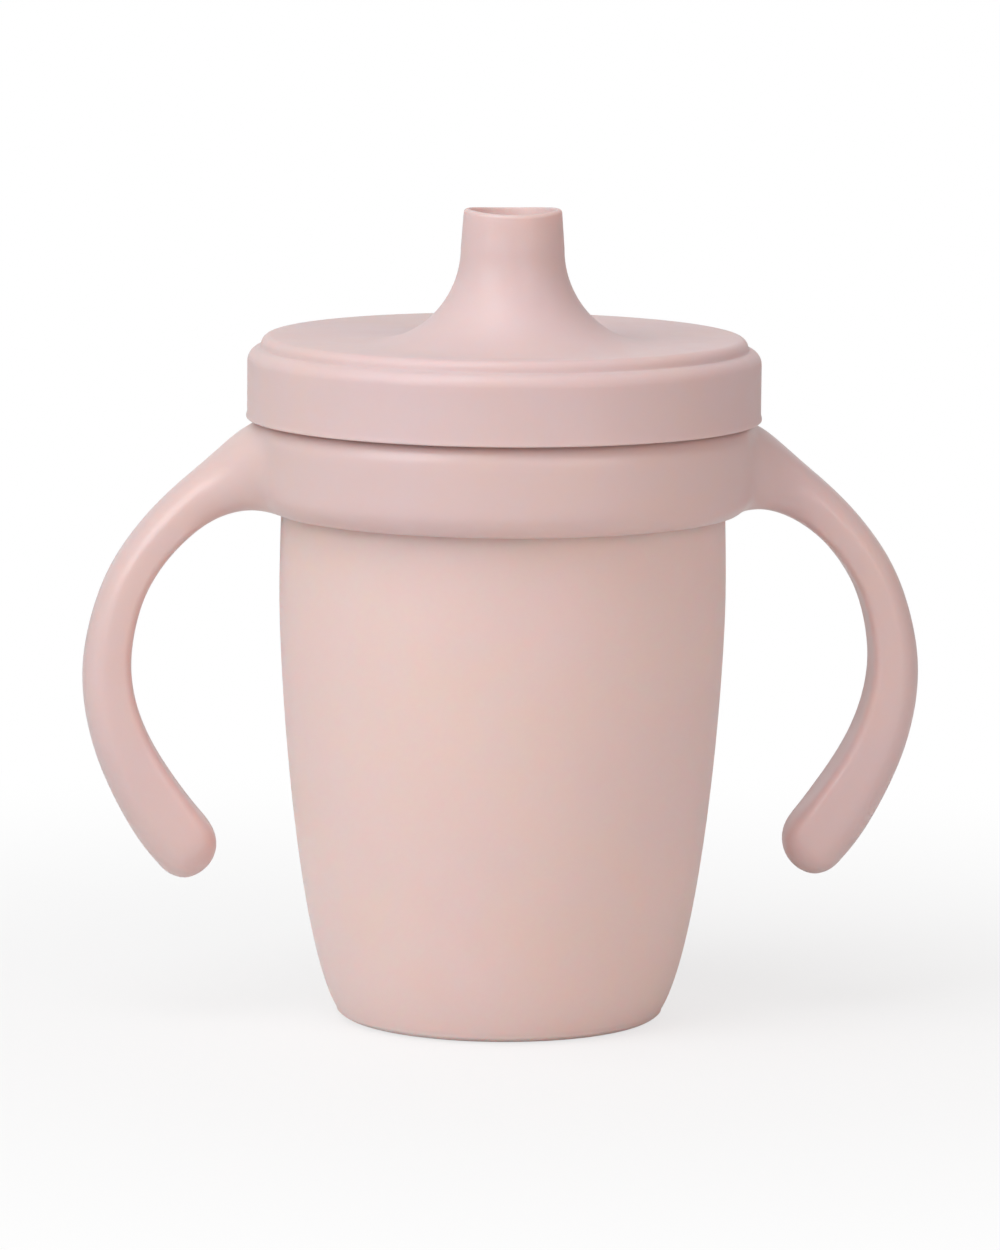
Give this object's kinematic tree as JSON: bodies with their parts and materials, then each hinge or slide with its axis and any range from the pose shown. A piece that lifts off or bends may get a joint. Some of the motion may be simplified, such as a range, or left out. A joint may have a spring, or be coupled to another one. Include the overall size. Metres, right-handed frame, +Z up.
{
  "type": "sippy cup",
  "caption": "Soft silicone toddler's cup with a spout lid, hooked side handles on a removable band and a plug-in flow valve.",
  "frame": {"origin": "middle of the cup's flat base, which is the middle of the whole part's underside", "axes": "+Z up, the two handles along X, the spout on the -Y side of the lid, towards the child"},
  "size_m": [0.1304, 0.0794, 0.1266],
  "materials": {
    "cup_silicone": "matte",
    "band_silicone": "satin",
    "lid_silicone": "matte",
    "valve_silicone": "satin"
  },
  "bodies": {
    "handles_body": {"handle_ring": "band_silicone"},
    "cup_body": {"cup": "cup_silicone"},
    "lid_body": {"spout_lid": "lid_silicone"},
    "valve_body": {"flow_valve": "valve_silicone"}
  },
  "joints": [
    {"name": "cup_slide", "type": "slide", "parent": "handles_body", "child": "cup_body", "axis": [0, 0, 1], "range_m": [0, 0.105]},
    {"name": "lid_lift", "type": "slide", "parent": "cup_body", "child": "lid_body", "axis": [0, 0, 1], "range_m": [0, 0.045]},
    {"name": "valve_pull", "type": "slide", "parent": "lid_body", "child": "valve_body", "axis": [0, 0, -1], "range_m": [0, 0.03]}
  ]
}
